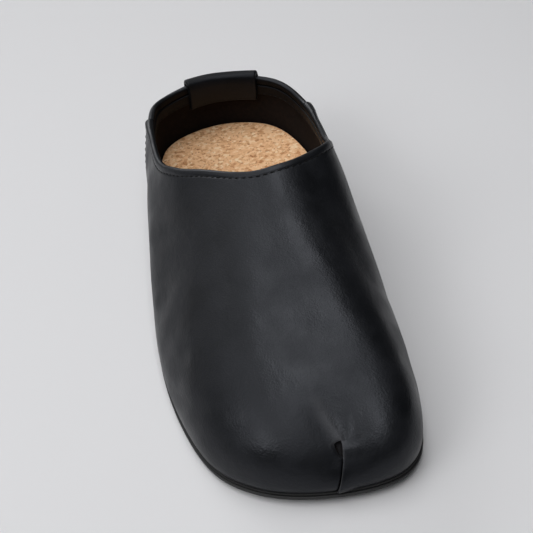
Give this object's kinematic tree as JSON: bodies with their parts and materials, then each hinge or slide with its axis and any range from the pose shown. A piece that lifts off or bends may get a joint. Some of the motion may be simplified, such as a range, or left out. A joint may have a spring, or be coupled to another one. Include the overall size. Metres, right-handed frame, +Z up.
{
  "type": "babouche slipper",
  "caption": "Low slip-on slipper in smooth black leather for the right foot, with a pinched toe dart, a turned collar, a heel tab, a cork footbed and a thin rubber sole.",
  "frame": {"origin": "on the floor, under the middle of the shoe's bounding box", "axes": "+Z up from the floor, -Y to the toe and +Y to the heel along the shoe's length, +X to the big-toe side"},
  "size_m": [0.1036, 0.2646, 0.0713],
  "materials": {
    "sole_rubber": "matt black moulded rubber sheet with a fine tread",
    "midsole_rubber": "matt black rubber foam sheet, buffed at the edge",
    "cork": "pressed cork granules, tan with lighter and browner grains, unvarnished",
    "black_leather": "smooth black calf leather with fine pores and a soft sheen, dark brown on the inside",
    "facing_leather": "thin black leather strip, skived and stitched inside the collar",
    "tab_leather": "smooth black calf leather folded over the collar"
  },
  "bodies": {
    "root": {"outsole": "sole_rubber", "midsole": "midsole_rubber", "footbed": "cork", "upper": "black_leather", "collar_facing": "facing_leather", "heel_tab": "tab_leather"}
  },
  "joints": []
}
